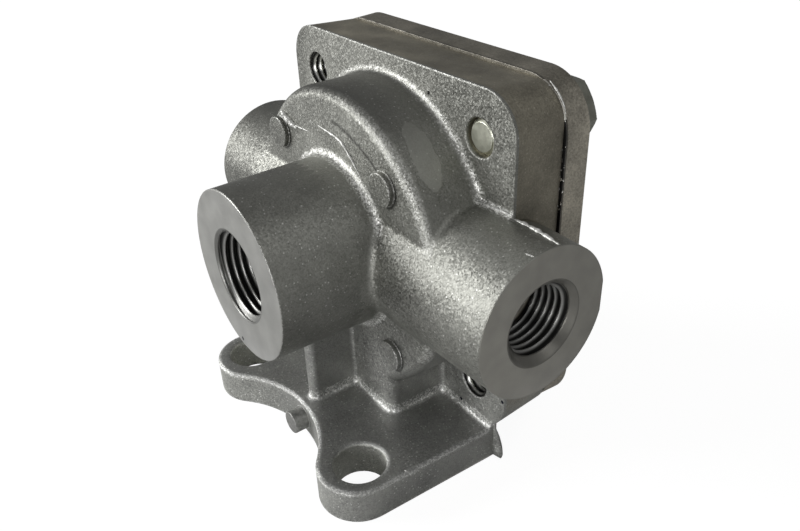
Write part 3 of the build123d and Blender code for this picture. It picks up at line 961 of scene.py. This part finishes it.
# Screw from its tip to the top of its head: a threaded shank with a chamfered tip, then a hexagon
# whose radius at an angle is half the flats over the cosine to the nearest flat, cut by the cone
def screwSurface(c, corner, length, turn):
    angle = roundSteps(c["steps"])
    shank = np.arange(0, length, c["pitch"] / c["perPitch"])
    wave = threadWave(shank, c["steps"], c["pitch"], c["flat"])
    tip = c["major"] - c["tipChamfer"] + shank[:, None]
    shankRadii = np.minimum(c["major"] - c["depth"] * wave, tip)
    half, height = c["headFlats"] / 2, c["headHeight"]
    slope = math.tan(math.radians(c["headChamfer"]))
    hexagon = half / np.cos((angle + np.pi / 6) % (np.pi / 3) - np.pi / 6)
    drop = (hexagon.max() - half) * slope
    coneRise = height - drop * np.linspace(c["coneStart"], 0, c["coneRings"])
    rise = np.concatenate([[0.0, 0.0], coneRise, [height]])
    headRadii = np.minimum(hexagon, (half + (height - rise) / slope)[:, None])
    headRadii[0] = c["major"]
    headRadii[-1] = half * c["top"]
    heights = np.concatenate([shank, length + rise])
    turned = math.radians(turn)
    across = (math.cos(turned), 0, math.sin(turned))
    origin = (corner[0], valve["coverBack"] - length, corner[1])
    radii = np.concatenate([shankRadii, headRadii])
    return turnedSurface(origin, (0, 1, 0), across, heights, radii)


# Female thread in front of a short screw's tip, as a thin ring set in the wall of the hole
femaleThread = {
    "crest": 2.72, "root": 3.2, "outer": 3.5, "inset": 0.20, "perPitch": 14, "flat": 0.12,
    "mouth": 0.5, "clear": 0.1, "steps": 96, "least": 0.6,
}


# Ring with a plain outer wall, closed like a tyre. The inner radius = crest + (root - crest) * the
# larger of the thread wave and the chamfer at the mouth
def threadRing(f, pitch, corner, depth):
    heights = np.arange(f["inset"], depth, pitch / f["perPitch"])
    wave = threadWave(heights, f["steps"], pitch, f["flat"])
    mouth = np.clip(1 - (heights - f["inset"]) / f["mouth"], 0, 1)[:, None]
    inner = f["crest"] + (f["root"] - f["crest"]) * np.maximum(wave, mouth)
    radii = np.concatenate([inner, np.full((2, f["steps"]), f["outer"])])
    heights = np.concatenate([heights, heights[[-1, 0]]])
    origin = (corner[0], valve["flangeFront"], corner[1])
    points = ringPoints(origin, (0, 1, 0), (1, 0, 0), heights, radii)
    rings, steps = radii.shape
    i, j = np.meshgrid(np.arange(rings), np.arange(steps), indexing="ij")
    k, m = (j + 1) % steps, (i + 1) % rings
    faces = np.stack([i * steps + j, m * steps + j, m * steps + k, i * steps + k], axis=-1)
    return points.reshape(-1, 3) * mm, faces.reshape(-1, 4)


for number, (toRight, toTop, length, turn) in enumerate(capScrew["places"], start=1):
    half = valve["screwHalfPitch"]
    corner = (toRight * half, valve["axisHeight"] + toTop * half)
    points, faces = screwSurface(capScrew, corner, length, turn)
    screw = meshObject(f"capScrew{number}", points, faces, zincCoat)
    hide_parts(f"cover_screw_{number}")
    finishPiece(screw, "housing")
    depth = valve["coverBack"] - length - valve["flangeFront"] - femaleThread["clear"]
    if depth > femaleThread["least"]:
        points, faces = threadRing(femaleThread, capScrew["pitch"], corner, depth)
        ring = meshObject(f"screwThread{number}", points, faces, threadMetal)
        finishPiece(ring, "housing")
print("cap screws and their threads made")


# Coil spring: a tube along a helix round the seat tube, from the seat ring to the cover
coilSpring = {
    "radius": 12.0, "wire": 0.6, "start": 18.75, "end": 34.35, "turns": 4.5, "perTurn": 72,
    "round": 16,
}


# Helix of constant pitch: the wire's centre lies at the radius round the axis, and y grows evenly
# with the angle. The wire is round about it, from the outward direction towards the binormal
def springSurface(c):
    count = int(c["turns"] * c["perTurn"]) + 1
    angle = 2 * np.pi * c["turns"] * np.linspace(0, 1, count)
    outwards = np.stack([np.cos(angle), np.zeros(count), np.sin(angle)], axis=-1)
    centre = c["radius"] * outwards
    centre[:, 1] = np.linspace(c["start"] + c["wire"], c["end"] - c["wire"], count)
    centre[:, 2] += valve["axisHeight"]
    binormal = np.cross(directions(centre), outwards)
    return tubeSurface(centre, c["wire"], outwards, binormal, c["round"])


points, faces = springSurface(coilSpring)
spring = meshObject("returnSpring", points, faces, springWire)
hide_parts("diaphragm_spring")
finishPiece(spring, "housing")
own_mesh(spring)
print("spring made")


# Raised lines that cold metal left on the dome's face, and other small marks of the casting, as
# thin tapered threads of metal along their paths
metalThread = {
    "sides": 8, "count": 60, "smooth": 5, "ends": 0.004, "wobble": 0.35, "waves": (37, 11),
}
flowLines = {
    "longWrinkle": {"radius": 0.24, "up": (0, -1, 0), "path": (
        (-4.5, 11.78, 60.2), (-1.9, 11.78, 60.0), (1.0, 11.78, 59.8), (3.1, 11.78, 59.4),
        (4.8, 11.78, 58.1), (6.2, 11.78, 57.0), (7.2, 11.78, 55.9), (8.6, 11.78, 54.6),
    )},
    "cornerBurr": {"radius": 0.17, "up": (0, -1, 0), "path": (
        (27.7, 34.25, 70.8), (28.6, 34.25, 70.2), (29.6, 34.25, 69.4), (30.4, 34.25, 68.5),
        (31.0, 34.25, 67.6), (31.5, 34.25, 66.4),
    )},
    "pinLine": {"radius": 0.16, "up": (0, -1, 0), "path": (
        (-14.1, 11.8, 57.8), (-12.4, 11.8, 57.7), (-10.8, 11.8, 57.8), (-7.6, 11.8, 58.0),
    )},
    "pinFin": {"radius": 0.62, "up": (0, -1, 0), "path": (
        (-17.7, 11.9, 59.2), (-16.4, 11.7, 58.75), (-14.4, 11.65, 58.1), (-12.0, 11.75, 57.3),
    )},
    "bossRidge": {"radius": 0.44, "up": (0, 0, 1), "path": (
        (30.4, 24.0, 52.2), (32.4, 24.3, 52.1), (34.6, 24.5, 52.03), (37.8, 24.4, 52.05),
        (41.6, 23.9, 52.1),
    )},
    "rootRidge": {"radius": 0.34, "up": (0, -1, 0), "path": (
        (24.3, 23.5, 52.55), (26.5, 23.5, 52.75), (29.7, 23.5, 53.05), (32.1, 23.6, 53.1),
    )},
    "bossMark": {"radius": 0.16, "up": (0, 0, 1), "path": (
        (39.9, 18.6, 51.9), (40.7, 18.75, 51.95), (41.5, 18.87, 52.0),
    )},
    "footNick": {"radius": 0.17, "up": (0, 0, 1), "path": (
        (26.9, 5.2, 7.1), (27.6, 5.5, 7.05), (28.2, 5.8, 6.4),
    )},
}


# The path at equal steps, each point averaged with its neighbours
def smoothPath(path, count, width):
    path = np.array(path, float)
    steps = np.concatenate([[0], np.cumsum(np.linalg.norm(np.diff(path, axis=0), axis=1))])
    share = np.linspace(0, steps[-1], count)
    path = np.stack([np.interp(share, steps, path[:, k]) for k in range(3)], axis=-1)
    kernel = np.ones(width) / width
    padded = np.pad(path, ((width // 2, width // 2), (0, 0)), mode="edge")
    return np.stack([np.convolve(padded[:, k], kernel, "valid") for k in range(3)], axis=-1)


# Radius at a share of the path = full radius * sqrt(sin(pi * share)) * wobble. The rings turn to
# the left along the way, so the faces are reversed
def threadOfMetal(line, t):
    centre = smoothPath(line["path"], t["count"], t["smooth"])
    up = np.broadcast_to(np.array(line["up"], float), centre.shape)
    share = np.linspace(0, 1, t["count"])
    fast, slow = t["waves"]
    wobble = 1 + t["wobble"] * np.sin(share * fast) * np.sin(share * slow + 1)
    inside = np.clip(share, t["ends"], 1 - t["ends"])
    size = line["radius"] * np.sqrt(np.sin(np.pi * inside)) * wobble
    aside = np.cross(directions(centre), up)
    points, faces = tubeSurface(centre, size[:, None, None], aside, up, t["sides"])
    return points, faces[:, ::-1]


for name, line in flowLines.items():
    points, faces = threadOfMetal(line, metalThread)
    finishPiece(meshObject(name, points, faces, bareGlintSkin), "housing")


# Flash at the foot's rear right corner: a thin leaf that stands out to the side, thinnest at its
# edge. The edge is given as pairs of z and x
cornerFlash = {
    "root": 28.0, "y": 24.95, "thick": 1.1, "edgeThick": 0.25, "bend": 0.35, "wave": 0.5,
    "rows": 25, "columns": 9,
    "edge": ((8.1, 28.5), (7.0, 29.0), (5.6, 29.6), (3.1, 30.3), (1.4, 30.7), (0.5, 30.5)),
}


# Leaf: x = root + (edge(z) - root) * share, with the thickness falling in a line towards the edge
# and a bend of share squared * sin(wave * z)
def leafSurface(c):
    zEdge, xEdge = np.array(c["edge"]).T
    rows, columns = c["rows"], c["columns"]
    z = np.linspace(zEdge[0], zEdge[-1], rows)[:, None]
    share = np.linspace(0, 1, columns)
    x = c["root"] + (np.interp(-z, -zEdge, xEdge) - c["root"]) * share
    half = (c["thick"] + (c["edgeThick"] - c["thick"]) * share) / 2
    middle = c["y"] + c["bend"] * share ** 2 * np.sin(z * c["wave"])
    z = np.repeat(z, columns, axis=1)
    front, back = (np.stack([x, middle + way * half, z], axis=-1) for way in (-1, 1))
    loop = np.concatenate([front, back[:, ::-1]], axis=1)
    steps = 2 * columns
    n = np.arange(columns - 1)
    corners = np.stack([n, n + 1, steps - 2 - n, n, steps - 2 - n, steps - 1 - n], axis=-1)
    top = corners.reshape(-1, 3)
    bottom = top + (rows - 1) * steps
    faces = np.concatenate([sideFaces(rows, steps), top[:, ::-1], bottom])
    return loop.reshape(-1, 3) * mm, faces


points, faces = leafSurface(cornerFlash)
finishPiece(meshObject("cornerFlash", points, faces, bodyMetal), "housing")


# Stub on the foot's front edge, over the CAD's thinner one: a short round bar with a soft rim
footStub = {
    "centre": (0, -2.8, 3.3), "radius": 2.3, "length": 3.5, "rim": 0.25, "rimRings": 7,
    "steps": 64,
}


# The rim is a quarter circle: height = rim * (1 - cos), radius = full radius - rim * (1 - sin)
def stubSurface(s):
    share = np.linspace(0, np.pi / 2, s["rimRings"])
    heights = np.concatenate([s["rim"] * (1 - np.cos(share)), [s["length"]]])
    radii = np.concatenate([s["radius"] - s["rim"] * (1 - np.sin(share)), [s["radius"]]])
    radii = np.repeat(radii[:, None], s["steps"], axis=1)
    return turnedSurface(s["centre"], (0, 1, 0), (1, 0, 0), heights, radii)


points, faces = stubSurface(footStub)
finishPiece(meshObject("footStub", points, faces, stubSkin), "housing")
print("casting marks made")
